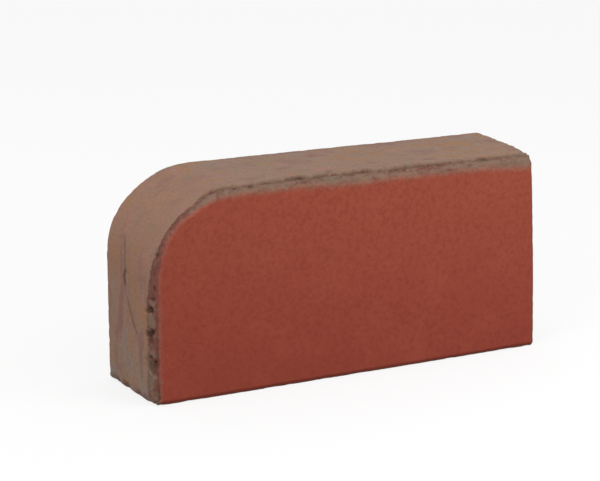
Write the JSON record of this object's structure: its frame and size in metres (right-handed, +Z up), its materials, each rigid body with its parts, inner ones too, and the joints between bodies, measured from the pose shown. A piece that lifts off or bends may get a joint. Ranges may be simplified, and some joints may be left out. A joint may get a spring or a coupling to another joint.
{
  "type": "radius stove brick",
  "caption": "Solid fired-clay stove and fireplace brick with one large rounded corner, for turning corners in masonry without a sharp edge.",
  "frame": {"origin": "centre of the long narrow face that the brick stands on", "axes": "+X along the length towards the square header end, so the rounded corner is at -X and +Z; -Y out of the front bed, the large red face; +Z up, across the width of the bed"},
  "size_m": [0.25, 0.065, 0.12],
  "materials": {
    "fired_clay": "matte"
  },
  "bodies": {
    "root": {"radius_brick": "fired_clay"}
  },
  "joints": []
}
